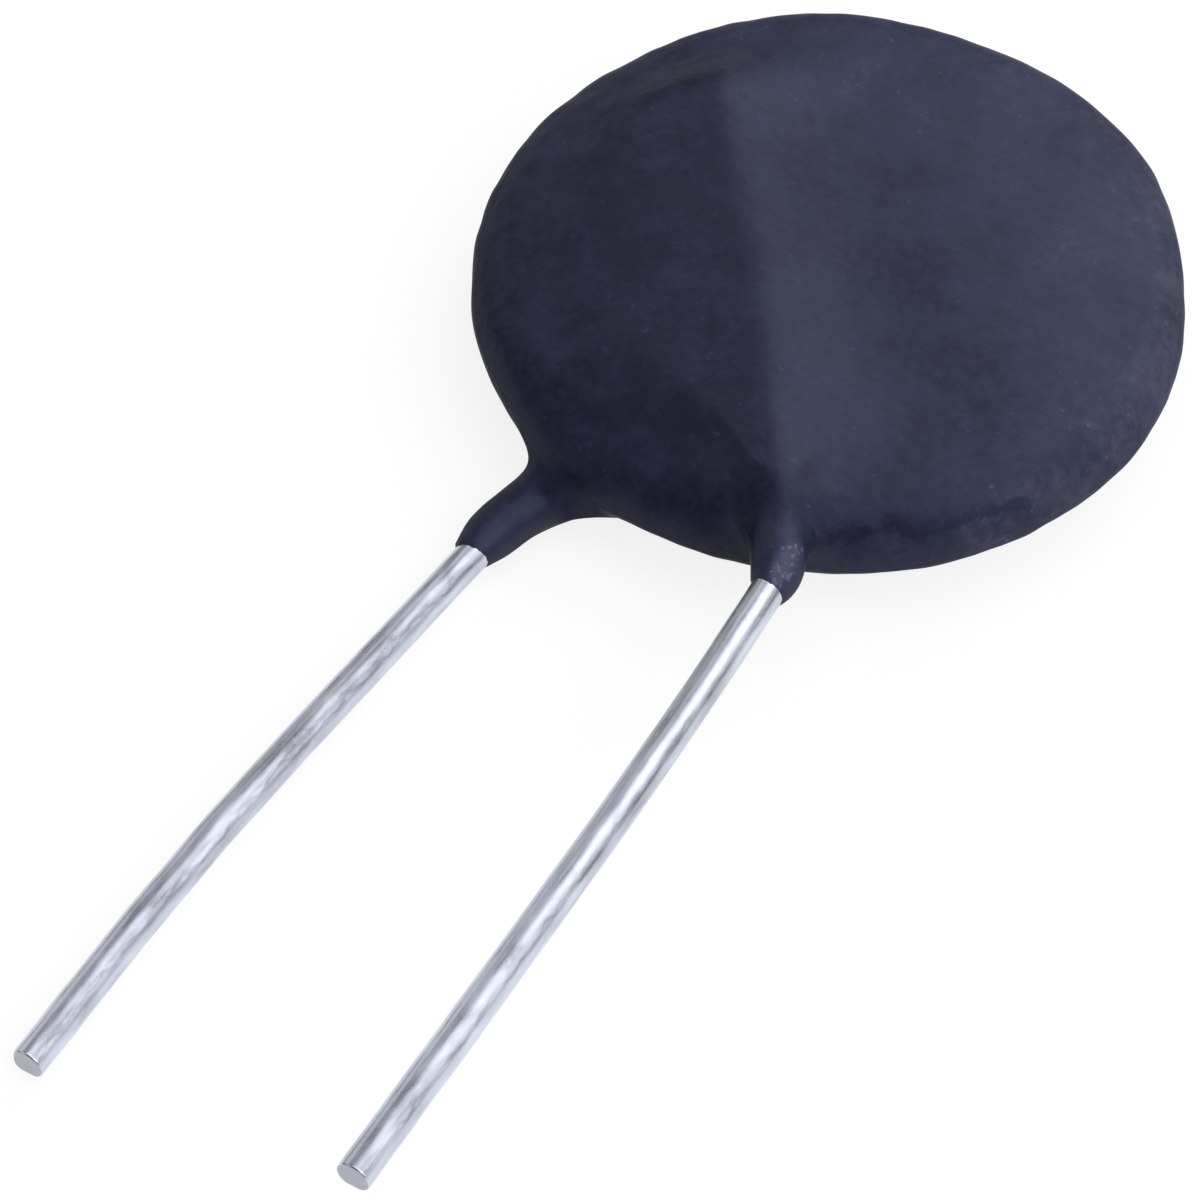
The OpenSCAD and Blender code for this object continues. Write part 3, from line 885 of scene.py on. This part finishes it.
def makeLamp(name, azimuth, elevation, width, height, brightness):
    # a panel that faces the disc's middle. Brightness is that of its face, so its power is the
    # brightness times pi times its area
    data = bpy.data.lights.new(name, "AREA")
    data.shape, data.size, data.size_y = "RECTANGLE", width * mm, height * mm
    data.energy = brightness * math.pi * data.size * data.size_y
    turn, tilt = math.radians(azimuth), math.radians(elevation)
    level = np.array([math.sin(turn), math.cos(turn), 0])
    way = level * math.cos(tilt) + [0, 0, math.sin(tilt)]
    lamp = bpy.data.objects.new(name, data)
    bpy.context.scene.collection.objects.link(lamp)
    lamp.location = Vector(placeInFrame(way * stage["lampDistance"]))
    lamp.rotation_euler = Vector(-way).to_track_quat("-Z", "Y").to_euler()


def makeFloor():
    # rays that show the background, straight or in a mirror or glass, see the floor as white with
    # a soft shadow, and all others see a plain pale floor
    half = stage["floorHalf"]
    corners = [(-half, -half, 0), (half, -half, 0), (half, half, 0), (-half, half, 0)]
    mesh = bpy.data.meshes.new("floor")
    mesh.from_pydata(corners, [], [(0, 1, 2, 3)])
    floor = bpy.data.objects.new("floor", mesh)
    bpy.context.scene.collection.objects.link(floor)
    material = bpy.data.materials.new("floorWhite")
    material.use_nodes = True
    tree = material.node_tree
    tree.nodes.clear()
    output = tree.nodes.new("ShaderNodeOutputMaterial")
    plain, shaded = (tree.nodes.new("ShaderNodeBsdfDiffuse") for k in range(2))
    plain.inputs["Color"].default_value = (*[stage["floorColor"]] * 3, 1)
    shaded.inputs["Color"].default_value = (*[stage["shownShare"]] * 3, 1)
    glow = tree.nodes.new("ShaderNodeEmission")
    glow.inputs["Strength"].default_value = stage["shownGlow"]
    white = tree.nodes.new("ShaderNodeAddShader")
    tree.links.new(shaded.outputs[0], white.inputs[0])
    tree.links.new(glow.outputs[0], white.inputs[1])
    path = tree.nodes.new("ShaderNodeLightPath")
    shown = path.outputs["Is Camera Ray"]
    for name in ("Is Glossy Ray", "Is Transmission Ray"):
        shown = addMath(tree, "MAXIMUM", shown, path.outputs[name])
    mix = tree.nodes.new("ShaderNodeMixShader")
    tree.links.new(shown, mix.inputs["Fac"])
    tree.links.new(plain.outputs[0], mix.inputs[1])
    tree.links.new(white.outputs[0], mix.inputs[2])
    tree.links.new(mix.outputs[0], output.inputs["Surface"])
    mesh.materials.append(material)


def makeSky():
    # the open sky gives no light of its own, and shows as white to the camera
    world = bpy.data.worlds.new("world")
    bpy.context.scene.world = world
    world.use_nodes = True
    tree = world.node_tree
    path = tree.nodes.new("ShaderNodeLightPath")
    tree.links.new(path.outputs["Is Camera Ray"], tree.nodes["Background"].inputs["Strength"])
    tree.nodes["Background"].inputs["Color"].default_value = (1, 1, 1, 1)


makeCamera()
makeFloor()
makeSky()
for name, values in stage["panels"].items():
    makeLamp(name, *values)
bpy.context.scene.view_settings.view_transform = "Standard"
print("stage made")
